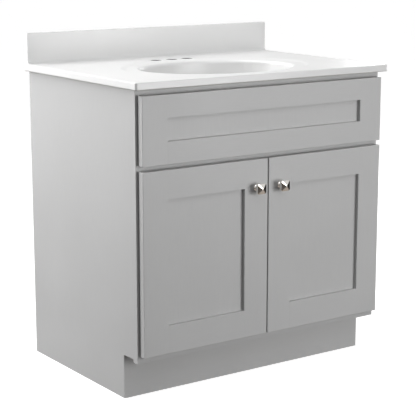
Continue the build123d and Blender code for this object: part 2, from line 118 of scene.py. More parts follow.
def near(a, b, within=0.02 * MM):
    return abs(a - b) < within


def apply_place(piece):
    take(piece)
    bpy.ops.object.transform_apply(location=True, rotation=True, scale=True)


def apply_modifier(piece, kind, **settings):
    take(piece)
    modifier = piece.modifiers.new(kind.lower(), kind)
    for key, value in settings.items():
        setattr(modifier, key, value)
    bpy.ops.object.modifier_apply(modifier=modifier.name)


def tidy_mesh(piece, merge=0.01 * MM):
    open_mesh(piece, "VERT")
    bpy.ops.mesh.select_all(action="SELECT")
    bpy.ops.mesh.remove_doubles(threshold=merge)
    bpy.ops.mesh.normals_make_consistent(inside=False)
    close_mesh()


def smooth(piece, angle=32):
    """Smooth over rounded parts, crisp over corners, flat on large faces."""
    take(piece)
    bpy.ops.object.shade_smooth_by_angle(angle=math.radians(angle))
    apply_modifier(piece, "WEIGHTED_NORMAL", keep_sharp=True, weight=60)


def combine(piece, other, operation):
    """Cuts other from the piece, or makes them one; other is used up."""
    apply_modifier(piece, "BOOLEAN", object=other, operation=operation, solver="EXACT")
    bpy.data.objects.remove(other)


def twin(piece, name):
    """A copy with a mesh of its own."""
    take(piece)
    bpy.ops.object.duplicate()
    copy = bpy.context.object
    copy.name = name
    copy.data.name = name
    return copy


def block(name, low, high):
    """A box between two corners, in millimetres, with its place in its mesh."""
    clear_selection()
    spot = [(a + b) / 2 * MM for a, b in zip(low, high)]
    bpy.ops.mesh.primitive_cube_add(size=1, location=spot)
    piece = bpy.context.object
    piece.name = name
    piece.scale = [(b - a) * MM for a, b in zip(low, high)]
    apply_place(piece)
    return piece


def ringed(name, rings, segments=48):
    """A closed solid drawn out ring by ring from (x half, y half, z) in millimetres."""
    clear_selection()
    wide, deep, z = rings[0]
    bpy.ops.mesh.primitive_circle_add(vertices=segments, radius=1, fill_type="NGON")
    piece = bpy.context.object
    piece.name = name
    piece.scale = (wide * MM, deep * MM, 1)
    piece.location = (0, 0, z * MM)
    apply_place(piece)
    open_mesh(piece)
    bpy.ops.mesh.select_all(action="SELECT")
    for next_wide, next_deep, next_z in rings[1:]:
        step = {"value": (0, 0, (next_z - z) * MM)}
        bpy.ops.mesh.extrude_region_move(TRANSFORM_OT_translate=step)
        bpy.ops.transform.resize(
            value=(next_wide / wide, next_deep / deep, 1),
            center_override=(0, 0, next_z * MM),
        )
        wide, deep, z = next_wide, next_deep, next_z
    close_mesh()
    tidy_mesh(piece, 0.001 * MM)
    return piece


def round_rings(pairs):
    return [(radius, radius, z) for radius, z in pairs]


def finish_piece(piece, stands_for, material):
    """Gives a new piece its material and its body, and hides the nodes it stands for."""
    piece.data.materials.clear()
    piece.data.materials.append(material)
    first = stands_for[0]
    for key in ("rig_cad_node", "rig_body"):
        if key in piece:
            del piece[key]
    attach(piece, body_of[first])
    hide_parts(*stands_for)


# ---- node building -------------------------------------------------------------------
def add(tree, kind, **settings):
    """A node, with its properties set by name."""
    node = tree.nodes.new(kind)
    for key, value in settings.items():
        setattr(node, key, value)
    return node


def feed(tree, socket, value):
    """Sets an input to a constant, or links another node's output to it."""
    if isinstance(value, (int, float, tuple)):
        socket.default_value = value
    else:
        tree.links.new(value, socket)


def math_node(tree, operation, first, second=None, clamp=False):
    node = add(tree, "ShaderNodeMath", operation=operation, use_clamp=clamp)
    for index, value in enumerate((first, second)):
        if value is not None:
            feed(tree, node.inputs[index], value)
    return node.outputs[0]


def vector_node(tree, operation, first, second):
    """Vector maths; the second input of SCALE is a number."""
    node = add(tree, "ShaderNodeVectorMath", operation=operation)
    feed(tree, node.inputs[0], first)
    feed(tree, node.inputs["Scale" if operation == "SCALE" else 1], second)
    return node.outputs["Value" if operation == "DOT_PRODUCT" else 0]


def split_axes(tree, vector):
    node = add(tree, "ShaderNodeSeparateXYZ")
    tree.links.new(vector, node.inputs[0])
    return node.outputs


def span(tree, value, low, high, to_low=0.0, to_high=1.0):
    """Value from low..high to to_low..to_high, held at the ends."""
    node = add(tree, "ShaderNodeMapRange", clamp=True)
    for label, number in (
        ("From Min", low), ("From Max", high), ("To Min", to_low), ("To Max", to_high)
    ):
        feed(tree, node.inputs[label], number)
    tree.links.new(value, node.inputs["Value"])
    return node.outputs["Result"]


def from_noise(tree, value, to_low=0.0, to_high=1.0):
    """Noise, which mostly lies between 0.3 and 0.7, opened out to a range."""
    return span(tree, value, 0.3, 0.7, to_low, to_high)


# a mix node keeps its numbers at sockets 2 and 3, and its colours at 6 and 7
def blend_colour(tree, factor, first, second):
    node = add(tree, "ShaderNodeMix", data_type="RGBA")
    for index, value in ((0, factor), (6, first), (7, second)):
        feed(tree, node.inputs[index], value)
    return node.outputs[2]


def blend_value(tree, factor, first, second):
    node = add(tree, "ShaderNodeMix", data_type="FLOAT")
    for index, value in ((0, factor), (2, first), (3, second)):
        feed(tree, node.inputs[index], value)
    return node.outputs[0]


def grey(level):
    return (level, level, level, 1)


def noise(tree, vector, scale, detail=3.0, roughness=0.55):
    node = add(tree, "ShaderNodeTexNoise")
    for label, value in (("Scale", scale), ("Detail", detail), ("Roughness", roughness)):
        feed(tree, node.inputs[label], value)
    tree.links.new(vector, node.inputs["Vector"])
    return node.outputs["Fac"]


def stretched(tree, scale):
    """Object coordinates, multiplied by a size along each axis."""
    place = add(tree, "ShaderNodeTexCoord")
    mapping = add(tree, "ShaderNodeMapping")
    tree.links.new(place.outputs["Object"], mapping.inputs["Vector"])
    feed(tree, mapping.inputs["Scale"], scale)
    return mapping.outputs["Vector"]


def even(tree):
    """Object coordinates as they are."""
    return stretched(tree, (1, 1, 1))


def new_group(name, inputs, outputs):
    tree = bpy.data.node_groups.new(name, "ShaderNodeTree")
    kinds = {"c": "NodeSocketColor", "f": "NodeSocketFloat", "v": "NodeSocketVector"}
    for label, kind, value in inputs:
        socket = tree.interface.new_socket(label, in_out="INPUT", socket_type=kinds[kind])
        socket.default_value = value
    for label, kind in outputs:
        tree.interface.new_socket(label, in_out="OUTPUT", socket_type=kinds[kind])
    start = tree.nodes.new("NodeGroupInput").outputs
    end = tree.nodes.new("NodeGroupOutput").inputs
    return tree, start, end


def rubbed_edge_group():
    """Mask of outer edges, broken up so that rubbing is uneven."""
    tree, start, end = new_group(
        "rubbed_edges",
        [("Reach", "f", 0.0012), ("Patchiness", "f", 0.5)],
        [("Mask", "f")],
    )
    bevel = add(tree, "ShaderNodeBevel", samples=4)
    tree.links.new(start["Reach"], bevel.inputs["Radius"])
    flat = add(tree, "ShaderNodeNewGeometry")
    agree = vector_node(tree, "DOT_PRODUCT", bevel.outputs[0], flat.outputs["Normal"])
    edge = span(tree, agree, 0.995, 0.86)
    patches = noise(tree, even(tree), 45.0, 4.0, 0.6)
    worn = span(tree, patches, start["Patchiness"], 0.72)
    tree.links.new(math_node(tree, "MULTIPLY", edge, worn, True), end["Mask"])
    return tree


def satin_paint_group():
    """Sprayed satin paint over wood: faint long grain, fine spray texture, soft mottling."""
    tree, start, end = new_group(
        "satin_paint",
        [("Paint", "c", grey(0.5)), ("Grain", "v", (60, 60, 4)), ("Sheen", "f", 0.4)],
        [("Colour", "c"), ("Roughness", "f"), ("Height", "f")],
    )
    plain = even(tree)
    grain = noise(tree, stretched(tree, start["Grain"]), 6.0, 6.0, 0.65)
    pores = noise(tree, stretched(tree, start["Grain"]), 30.0, 2.0, 0.5)
    clouds = noise(tree, plain, 5.0, 3.0, 0.5)
    spray = noise(tree, plain, 900.0, 2.0, 0.5)
    shade = math_node(tree, "ADD", from_noise(tree, clouds, -0.016, 0.016),
                      from_noise(tree, grain, 0.978, 1.012))
    tree.links.new(vector_node(tree, "SCALE", start["Paint"], shade), end["Colour"])
    rough = math_node(tree, "ADD", start["Sheen"], from_noise(tree, clouds, -0.05, 0.05))
    rough = math_node(tree, "ADD", rough, from_noise(tree, spray, -0.03, 0.03))
    tree.links.new(rough, end["Roughness"])
    height = math_node(tree, "MULTIPLY", grain, 0.5)
    height = math_node(tree, "ADD", height, math_node(tree, "MULTIPLY", pores, 0.22))
    height = math_node(tree, "ADD", height, math_node(tree, "MULTIPLY", spray, 0.28))
    tree.links.new(height, end["Height"])
    return tree


def board_group():
    """Birch-faced particle board: pale long grain on its faces, chips on its edges."""
    tree, start, end = new_group(
        "birch_board",
        [("Tone", "c", (0.62, 0.5, 0.36, 1)), ("Grain", "v", (3, 60, 60)),
         ("Face", "v", (0, 0, 1))],
        [("Colour", "c"), ("Roughness", "f"), ("Height", "f")],
    )
    plain = even(tree)
    wave = noise(tree, stretched(tree, start["Grain"]), 5.0, 8.0, 0.62)
    fleck = noise(tree, stretched(tree, start["Grain"]), 34.0, 3.0, 0.6)
    chips = add(tree, "ShaderNodeTexVoronoi", feature="F1")
    chips.inputs["Scale"].default_value = 420.0
    tree.links.new(plain, chips.inputs["Vector"])
    chip_shade = add(tree, "ShaderNodeSeparateColor")
    tree.links.new(chips.outputs["Color"], chip_shade.inputs[0])
    normal = add(tree, "ShaderNodeTexCoord")
    agree = vector_node(tree, "DOT_PRODUCT", normal.outputs["Normal"], start["Face"])
    on_face = span(tree, math_node(tree, "ABSOLUTE", agree), 0.6, 0.8)
    dark = vector_node(tree, "MULTIPLY", start["Tone"], (0.74, 0.68, 0.6))
    grain_mask = math_node(tree, "ADD", span(tree, wave, 0.35, 0.68, 0, 0.7),
                           span(tree, fleck, 0.5, 0.75, 0, 0.3), True)
    face_colour = blend_colour(tree, grain_mask, start["Tone"], dark)
    chip_colour = blend_colour(
        tree, chip_shade.outputs[0], (0.36, 0.26, 0.16, 1), (0.74, 0.6, 0.42, 1)
    )
    tree.links.new(blend_colour(tree, on_face, chip_colour, face_colour), end["Colour"])
    tree.links.new(span(tree, on_face, 0, 1, 0.85, 0.52), end["Roughness"])
    rough_edge = math_node(tree, "MULTIPLY", chips.outputs["Distance"], 1.4)
    soft_grain = math_node(tree, "MULTIPLY", wave, 0.25)
    tree.links.new(blend_value(tree, on_face, rough_edge, soft_grain), end["Height"])
    return tree


def metal_group():
    """Plating: hairline rubbing one way, small haze patches, a trace of tone."""
    tree, start, end = new_group(
        "plated_metal",
        [("Metal", "c", grey(0.7)), ("Rub", "v", (40, 40, 900)),
         ("Polish", "f", 0.1), ("Haze", "f", 0.08)],
        [("Colour", "c"), ("Roughness", "f"), ("Height", "f")],
    )
    hair = noise(tree, stretched(tree, start["Rub"]), 3.0, 3.0, 0.6)
    haze = noise(tree, even(tree), 120.0, 4.0, 0.6)
    tone = vector_node(tree, "SCALE", start["Metal"], from_noise(tree, haze, 0.96, 1.02))
    tree.links.new(tone, end["Colour"])
    spread = math_node(tree, "MULTIPLY", span(tree, haze, 0.35, 0.75), start["Haze"])
    hairs = math_node(tree, "MULTIPLY", span(tree, hair, 0.4, 0.8), start["Haze"])
    rough = math_node(tree, "ADD", start["Polish"], math_node(tree, "ADD", spread, hairs))
    tree.links.new(rough, end["Roughness"])
    height = math_node(tree, "ADD", hair, math_node(tree, "MULTIPLY", haze, 0.3))
    tree.links.new(height, end["Height"])
    return tree


groups = {
    "edges": rubbed_edge_group(),
    "paint": satin_paint_group(),
    "board": board_group(),
    "metal": metal_group(),
}


# ---- materials -----------------------------------------------------------------------
def new_material(name, **constants):
    """A material with one shader; the constants are set on the shader's own sockets."""
    material = bpy.data.materials.new(name)
    material.use_nodes = True
    tree = material.node_tree
    shader = tree.nodes["Principled BSDF"]
    for label, value in constants.items():
        shader.inputs[label.replace("_", " ")].default_value = value
    return material, tree, shader


def use_group(tree, name, **values):
    node = tree.nodes.new("ShaderNodeGroup")
    node.node_tree = groups[name]
    for label, value in values.items():
        node.inputs[label].default_value = value
    return node.outputs


def bump_from(tree, shader, height, strength, distance):
    bump = add(tree, "ShaderNodeBump")
    bump.inputs["Strength"].default_value = strength
    bump.inputs["Distance"].default_value = distance
    tree.links.new(height, bump.inputs["Height"])
    tree.links.new(bump.outputs["Normal"], shader.inputs["Normal"])


def surface(tree, shader, colour, roughness):
    tree.links.new(colour, shader.inputs["Base Color"])
    feed(tree, shader.inputs["Roughness"], roughness)


# how finely paint grain is drawn along each axis: coarse along the wood
ALONG_X = (4, 60, 60)
ALONG_Z = (60, 60, 4)
PAINT = grey(0.5)
UNDERCOAT = (0.66, 0.655, 0.64, 1)
# the two ends of each mottled colour
BEECH = (0.62, 0.42, 0.24, 1), (0.45, 0.28, 0.15, 1)
CLEAR = (0.8, 0.81, 0.79, 1), (0.9, 0.9, 0.88, 1)
GEL_WHITE = (0.72, 0.722, 0.72, 1), (0.75, 0.75, 0.747, 1)
RAW_WHITE = (0.58, 0.57, 0.54, 1), (0.72, 0.71, 0.68, 1)
# painted shade: the dark grey put on the faucet hole walls
HOLE_SHADE_GREY = (0.16, 0.16, 0.155, 1), (0.24, 0.235, 0.23, 1)


def painted(name, grain, sheen=0.42, rub=0.35):
    """Satin grey paint, rubbed a little at its outer edges."""
    material, tree, shader = new_material(name, Specular_IOR_Level=0.42)
    paint = use_group(tree, "paint", Paint=PAINT, Grain=grain, Sheen=sheen)
    edges = use_group(tree, "edges", Reach=0.0009, Patchiness=0.42)
    faint = math_node(tree, "MULTIPLY", edges["Mask"], rub)
    colour = blend_colour(tree, faint, paint["Colour"], UNDERCOAT)
    surface(tree, shader, colour, paint["Roughness"])
    bump_from(tree, shader, paint["Height"], 0.22, 0.0004)
    return material


def side_board():
    """Side panels: grey laminate outside, birch face inside, raw board at the edges."""
    material, tree, shader = new_material("side_board", Specular_IOR_Level=0.42)
    outer = abs(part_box("side_panel_left")[0].x)
    laminate, fade = 0.75 * MM, 0.1 * MM
    paint = use_group(tree, "paint", Paint=PAINT, Grain=ALONG_Z, Sheen=0.44)
    board = use_group(tree, "board", Grain=(60, 60, 3), Face=(1, 0, 0))
    place = add(tree, "ShaderNodeTexCoord").outputs
    reach = math_node(tree, "ABSOLUTE", split_axes(tree, place["Object"])["X"])
    skin = span(tree, reach, outer - laminate, outer - laminate + fade)
    colour = blend_colour(tree, skin, board["Colour"], paint["Colour"])
    rough = blend_value(tree, skin, board["Roughness"], paint["Roughness"])
    surface(tree, shader, colour, rough)
    height = blend_value(tree, skin, board["Height"], paint["Height"])
    bump_from(tree, shader, height, 0.25, 0.0005)
    return material


def plain_board(name, grain, face):
    material, tree, shader = new_material(name, Specular_IOR_Level=0.35)
    board = use_group(tree, "board", Grain=grain, Face=face)
    surface(tree, shader, board["Colour"], board["Roughness"])
    bump_from(tree, shader, board["Height"], 0.3, 0.0005)
    return material


def dowel_wood():
    material, tree, shader = new_material("beech_dowel", Specular_IOR_Level=0.35)
    flutes = noise(tree, stretched(tree, (6, 300, 300)), 4.0, 4.0, 0.6)
    colour = blend_colour(tree, span(tree, flutes, 0.35, 0.7), *BEECH)
    surface(tree, shader, colour, from_noise(tree, flutes, 0.6, 0.78))
    bump_from(tree, shader, flutes, 0.4, 0.0004)
    return material


def metal(name, tone, rub, polish, haze, bump):
    material, tree, shader = new_material(name, Metallic=1.0)
    plating = use_group(tree, "metal", Metal=tone, Rub=rub, Polish=polish, Haze=haze)
    surface(tree, shader, plating["Colour"], plating["Roughness"])
    bump_from(tree, shader, plating["Height"], bump, 0.0001)
    return material


def clear_rubber():
    material, tree, shader = new_material(
        "clear_bumper", Transmission_Weight=0.35, IOR=1.46, Specular_IOR_Level=0.4
    )
    cloud = noise(tree, even(tree), 260.0, 3.0, 0.5)
    colour = blend_colour(tree, from_noise(tree, cloud), *CLEAR)
    surface(tree, shader, colour, from_noise(tree, cloud, 0.3, 0.42))
    bump_from(tree, shader, cloud, 0.15, 0.0002)
    return material


def cast_top():
    """Glossy gel coat above; the rough back of the casting below; painted shade on the walls of
    the faucet holes.
    """
    material, tree, shader = new_material(
        "gel_coat", Coat_Roughness=0.16, Coat_IOR=1.5, Specular_IOR_Level=0.5
    )
    place = add(tree, "ShaderNodeTexCoord").outputs
    spot, facing = split_axes(tree, place["Object"]), split_axes(tree, place["Normal"])
    turned_down = span(tree, facing["Z"], -0.35, -0.6)
    below = span(tree, spot["Z"], SLAB_UNDER + 0.1 * MM, SLAB_UNDER - 0.1 * MM)
    # the bowl's inside looks up or sideways towards its middle; its back looks away
    away_y = math_node(tree, "SUBTRACT", spot["Y"], BOWL_Y)
    out_x = math_node(tree, "MULTIPLY", spot["X"], facing["X"])
    out_y = math_node(tree, "MULTIPLY", away_y, facing["Y"])
    outwards = span(tree, math_node(tree, "ADD", out_x, out_y), -0.001, 0.001)
    backside = math_node(tree, "MULTIPLY", below, outwards)
    raw = math_node(tree, "MAXIMUM", turned_down, backside)
    # painted shade: the walls of the faucet holes are coloured dark grey to stand for the shade
    # inside the holes
    row_half_width = faucet_radius + 1.6
    row_half_length = faucet_spacing + faucet_radius + 3.2
    off_row = math_node(tree, "SUBTRACT", spot["Y"], faucet_y * MM)
    in_row = span(tree, math_node(tree, "ABSOLUTE", off_row),
                  (row_half_width + 0.2) * MM, row_half_width * MM)
    near_middle = span(tree, math_node(tree, "ABSOLUTE", spot["X"]),
                       (row_half_length + 0.1) * MM, row_half_length * MM)
    under_rim = span(tree, spot["Z"], (deck - 0.6) * MM, (deck - 1.2) * MM)
    in_holes = math_node(tree, "MULTIPLY", in_row, near_middle)
    hole_shade_mask = math_node(tree, "MULTIPLY", in_holes, under_rim)
    cloud = noise(tree, even(tree), 3.5, 4.0, 0.55)
    ripple = noise(tree, even(tree), 14.0, 1.0, 0.4)
    speck = noise(tree, even(tree), 320.0, 3.0, 0.6)
    gloss_white = blend_colour(tree, from_noise(tree, cloud), *GEL_WHITE)
    raw_white = blend_colour(tree, from_noise(tree, speck), *RAW_WHITE)
    top_colour = blend_colour(tree, raw, gloss_white, raw_white)
    # painted shade colour for the faucet hole walls
    hole_shade_grey = blend_colour(tree, speck, *HOLE_SHADE_GREY)
    gloss = from_noise(tree, cloud, 0.3, 0.36)
    rough = math_node(tree, "ADD", gloss, math_node(tree, "MULTIPLY", raw, 0.55))
    surface(tree, shader, blend_colour(tree, hole_shade_mask, top_colour, hole_shade_grey), rough)
    tree.links.new(span(tree, raw, 0, 1, 0.2, 0.0), shader.inputs["Coat Weight"])
    coarse = math_node(tree, "MULTIPLY", math_node(tree, "MULTIPLY", speck, raw), 0.8)
    height = math_node(tree, "ADD", math_node(tree, "MULTIPLY", ripple, 0.12), coarse)
    bump_from(tree, shader, height, 0.25, 0.001)
    return material


# ---- sizes of the finer pieces, in millimetres ---------------------------------------
def corners(node):
    low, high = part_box(node)
    return [value / MM for value in low], [value / MM for value in high]


top_low, top_high = corners("vanity_top")
slab_under = corners("side_panel_left")[1][2]
slab_thick = 19.0
deck = slab_under + slab_thick
splash_thick = 19.0
cove_radius = 9.0
slab_edge_radius = 3.0
slab_corner_radius = 6.0
front_overhang = 25.4
bowl_half_length = 216.0
bowl_half_width = 165.0
bowl_depth = 140.0
bowl_wall = 9.0
bowl_setback = 205.0  # front of the cabinet to the middle of the bowl
bowl_middle_y = top_low[1] + front_overhang + bowl_setback
bowl_plan_power = 0.62  # how squarely the bowl's outline shrinks towards its drain
bowl_profile_power = 1.15  # how roundly its wall turns into its floor
dish_end_margin, dish_side_margin = 55.0, 34.0
dish_half_length = bowl_half_length + dish_end_margin
dish_half_width = bowl_half_width + dish_side_margin
dish_depth = 2.5
dish_slope = 18.0
rim_radius = 10.0
drain_radius = 22.3
drain_flat_radius = 34.0
drain_flat_half_sizes = (drain_flat_radius * 1.02, drain_flat_radius)
drain_boss_radius = 40.0
faucet_spacing = 50.8
faucet_radius = 16.0
faucet_setback = 113.0  # back of the top to the line of faucet holes
faucet_y = top_high[1] - faucet_setback
SLAB_UNDER = slab_under * MM
BOWL_Y = bowl_middle_y * MM


# ---- vanity top ----------------------------------------------------------------------
def bowl_plan(angle):
    """Half length and half width of the bowl, from its rim at 0 to its drain at a quarter."""
    shrink = max(0.0, math.cos(angle)) ** bowl_plan_power
    wide = drain_flat_radius + (bowl_half_length - drain_flat_radius) * shrink
    deep = drain_flat_radius + (bowl_half_width - drain_flat_radius) * shrink
    return wide, deep


def bowl_half_sizes(depth_below_deck):
    """Half length and half width of the bowl's hollow at a depth."""
    share = min(1.0, depth_below_deck / bowl_depth)
    return bowl_plan(math.asin(share ** (1 / bowl_profile_power)))


def slab_with_splash():
    slab = block("vanity_top_cast", (top_low[0], top_low[1], slab_under),
                 (top_high[0], top_high[1], deck))
    splash_face = (top_high[1] - splash_thick) * MM
    open_mesh(slab)
    bpy.ops.mesh.select_all(action="SELECT")
    bpy.ops.mesh.bisect(plane_co=(0, splash_face, 0), plane_no=(0, 1, 0))
    pick(slab, "FACE", lambda f: f.normal.z > 0.9 and middle(f).y > splash_face)
    rise = {"value": (0, 0, (top_high[2] - deck) * MM)}
    bpy.ops.mesh.extrude_region_move(TRANSFORM_OT_translate=rise)
    pick(slab, "EDGE", lambda e: near(middle(e).y, splash_face)
         and near(middle(e).z, deck * MM) and near(middle(e).x, 0))
    bpy.ops.mesh.bevel(offset=cove_radius * MM, segments=8)
    pick(slab, "EDGE", lambda e: near(middle(e).y, top_low[1] * MM)
         and abs(middle(e).x) > (top_high[0] - 1) * MM)
    bpy.ops.mesh.bevel(offset=slab_corner_radius * MM, segments=6)
    side = top_high[0] * MM
    front = (top_low[1] + slab_corner_radius + 0.1) * MM

    def is_rim(edge):
        spot = middle(edge)
        flat = near(edge.verts[0].co.z, edge.verts[1].co.z)
        level = near(spot.z, deck * MM) or near(spot.z, SLAB_UNDER)
        run_back = abs(edge.verts[0].co.y - edge.verts[1].co.y)
        on_front = spot.y < front and run_back < front_overhang * MM
        on_side = near(abs(spot.x), side) and near(edge.verts[0].co.x, edge.verts[1].co.x)
        splash_rim = near(spot.z, top_high[2] * MM) and near(spot.y, splash_face)
        return flat and ((level and (on_front or on_side)) or splash_rim)

    pick(slab, "EDGE", is_rim)
    bpy.ops.mesh.bevel(offset=slab_edge_radius * MM, segments=4)
    close_mesh()
    tidy_mesh(slab)
    return slab


def bowl_hollow():
    """What is cut away: the soft-edged drip ring, the bowl and the drain."""
    rings = [(dish_half_length + 2, dish_half_width + 2, deck + 5),
             (dish_half_length + 1.2, dish_half_width + 1.2, deck + 0.12)]
    for step in (0.1, 0.22, 0.35, 0.5, 0.65, 0.78, 0.9, 1.0):
        drop = dish_depth * step * step * (3 - 2 * step)
        inset = dish_slope * step
        rings.append((dish_half_length - inset, dish_half_width - inset, deck - drop))
    rim_depth = dish_depth + rim_radius
    rim_wide, rim_deep = bowl_half_sizes(rim_depth)
    arc_steps = 7
    for step in range(arc_steps + 1):
        turn = math.pi / 2 * step / arc_steps
        out = rim_radius * (1 - math.sin(turn))
        fall = dish_depth + rim_radius * (1 - math.cos(turn))
        rings.append((rim_wide + out, rim_deep + out, deck - fall))
    wall_steps = 26
    start = math.asin((rim_depth / bowl_depth) ** (1 / bowl_profile_power))
    for step in range(1, wall_steps + 1):
        angle = start + (math.pi / 2 - start) * step / wall_steps
        depth = bowl_depth * math.sin(angle) ** bowl_profile_power
        wide, deep = bowl_half_sizes(depth)
        if step == wall_steps:
            wide, deep = drain_flat_half_sizes
        rings.append((wide, deep, deck - depth))
    drain_edge = ((27, 0.5), (24.6, 0.9), (23.4, 1.6), (22.6, 2.8), (drain_radius, 4.2))
    for radius, fall in drain_edge:
        rings.append((radius, radius, deck - bowl_depth - fall))
    rings.append((drain_radius, drain_radius, deck - bowl_depth - 40))
    hollow = ringed("bowl_hollow", rings, 160)
    hollow.location = (0, BOWL_Y, 0)
    apply_place(hollow)
    return hollow


def bowl_back():
    """The bowl's outer shape under the slab, with the boss round the drain."""
    rings = []
    steps = 22
    start_depth = slab_thick / 2
    for step in range(steps + 1):
        angle = math.pi / 2 * step / steps
        depth = bowl_depth + bowl_wall - start_depth
        z = deck - start_depth - depth * math.sin(angle) ** bowl_profile_power
        wide, deep = bowl_plan(angle)
        if step == steps:
            wide, deep = drain_flat_half_sizes
        rings.append((wide + bowl_wall, deep + bowl_wall, z))
    floor = deck - bowl_depth - bowl_wall
    rings += [(drain_boss_radius + 0.6, drain_boss_radius + 0.6, floor - 0.6),
              (drain_boss_radius, drain_boss_radius, floor - 1.6),
              (drain_boss_radius, drain_boss_radius, floor - 7.4),
              (drain_boss_radius - 0.6, drain_boss_radius - 0.6, floor - 8)]
    back = ringed("bowl_back", rings, 160)
    back.location = (0, BOWL_Y, 0)
    apply_place(back)
    return back


def faucet_hole(x):
    rings = round_rings([(faucet_radius, slab_under - 4), (faucet_radius, deck - 1.2),
                         (faucet_radius + 0.3, deck - 0.5), (faucet_radius + 1.1, deck + 0.05),
                         (faucet_radius + 1.3, deck + 3)])
    hole = ringed("faucet_hole", rings, 64)
    hole.location = (x * MM, faucet_y * MM, 0)
    apply_place(hole)
    return hole


def vanity_top(material):
    top = slab_with_splash()
    combine(top, bowl_back(), "UNION")
    combine(top, bowl_hollow(), "DIFFERENCE")
    for step in (-1, 0, 1):
        combine(top, faucet_hole(step * faucet_spacing), "DIFFERENCE")
    tidy_mesh(top)
    smooth(top, 38)
    finish_piece(top, ["vanity_top"], material)


# ---- knobs ---------------------------------------------------------------------------
def knob_shape():
    """Square faceted head on a round stem, standing on z = 0, in millimetres."""
    size, back_size, band = 27.0, 21.0, (17.5, 23.5)
    projection, head_start, tip_size = 28.0, 14.0, 2.4
    half = size / 2
    head = block("knob", (-half, -half, band[0]), (half, half, band[1]))
    open_mesh(head, "EDGE")
    pick(head, "EDGE", lambda e: near(e.verts[0].co.x, e.verts[1].co.x)
         and near(e.verts[0].co.y, e.verts[1].co.y))
    bpy.ops.mesh.bevel(offset=4.5 * MM, segments=8)
    for way, rise, scale in ((1, projection - band[1], tip_size / size),
                             (-1, band[0] - head_start, back_size / size)):
        pick(head, "FACE", lambda f: f.normal.z * way > 0.9)
        step = {"value": (0, 0, way * rise * MM)}
        bpy.ops.mesh.extrude_region_move(TRANSFORM_OT_translate=step)
        z = projection if way > 0 else head_start
        bpy.ops.transform.resize(value=(scale, scale, 1), center_override=(0, 0, z * MM))
    close_mesh()
    tidy_mesh(head)
    apply_modifier(head, "BEVEL", width=0.45 * MM, segments=3, limit_method="ANGLE",
                   angle_limit=math.radians(24))
    stem = ringed("stem", round_rings([(8.5, 0), (8.5, 1.3), (8.2, 1.9), (7.6, 2.4), (6.6, 3.1),
                                       (5.9, 4.2), (5.5, 6), (5.5, 10.5), (5.9, 12.2),
                                       (6.8, 13.4), (7.6, 14.4)]), 48)
    combine(head, stem, "UNION")
    tidy_mesh(head)
    smooth(head, 24)
    return head


def knobs(material):
    pattern = knob_shape()
    for side in ("left", "right"):
        node = side + "_door_knob"
        low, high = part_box(node)
        knob = twin(pattern, side + "_faceted_knob")
        knob.rotation_euler = (math.pi / 2, 0, 0)
        knob.location = ((low.x + high.x) / 2, high.y, (low.z + high.z) / 2)
        apply_place(knob)
        finish_piece(knob, [node], material)
    bpy.data.objects.remove(pattern)


# ---- screws --------------------------------------------------------------------------
def screw_shape(shank, head, head_height, length):
    """Pan head with a cross recess; the head stands on z = 0 and the shank hangs below."""
    tip = min(3.0, shank * 1.6)
    rings = [(0.3, -length), (shank * 0.78, tip - length)]
    pitch = shank * 0.9
    turns = int((length - tip - 1.5) / pitch)
    for turn in range(turns):
        z = tip - length + turn * pitch
        rings += [(shank * 0.8, z + pitch * 0.25), (shank, z + pitch * 0.5),
                  (shank * 0.8, z + pitch * 0.75)]
    rings += [(shank, -0.8), (shank, 0), (head * 0.98, 0), (head, head_height * 0.16),
              (head * 0.97, head_height * 0.45), (head * 0.86, head_height * 0.75),
              (head * 0.66, head_height * 0.93), (head * 0.4, head_height)]
    screw = ringed("screw", round_rings(rings), 32)
    arm, thin = head * 0.56, head * 0.13
    for wide, deep in ((arm, thin), (thin, arm)):
        slot = block("recess", (-wide, -deep, head_height * 0.25),
                     (wide, deep, head_height + 1))
        open_mesh(slot)
        pick(slot, "FACE", lambda f: f.normal.z < -0.9)
        bpy.ops.transform.resize(value=(0.55, 0.55, 1), center_override=(0, 0, 0))
        close_mesh()
        combine(screw, slot, "DIFFERENCE")
    tidy_mesh(screw, 0.002 * MM)
    smooth(screw, 35)
    return screw


def set_copies(name, node, pattern, places, turn, material):
    """Copies of one pattern at several places, joined as one piece."""
    copies = []
    for place in places:
        copy = twin(pattern, name)
        copy.rotation_euler = turn
        copy.location = place
        apply_place(copy)
        copies.append(copy)
    clear_selection()
    for copy in copies:
        copy.select_set(True)
    bpy.context.view_layer.objects.active = copies[0]
    if len(copies) > 1:
        bpy.ops.object.join()
    piece = bpy.context.object
    piece.name = name
    finish_piece(piece, [node], material)


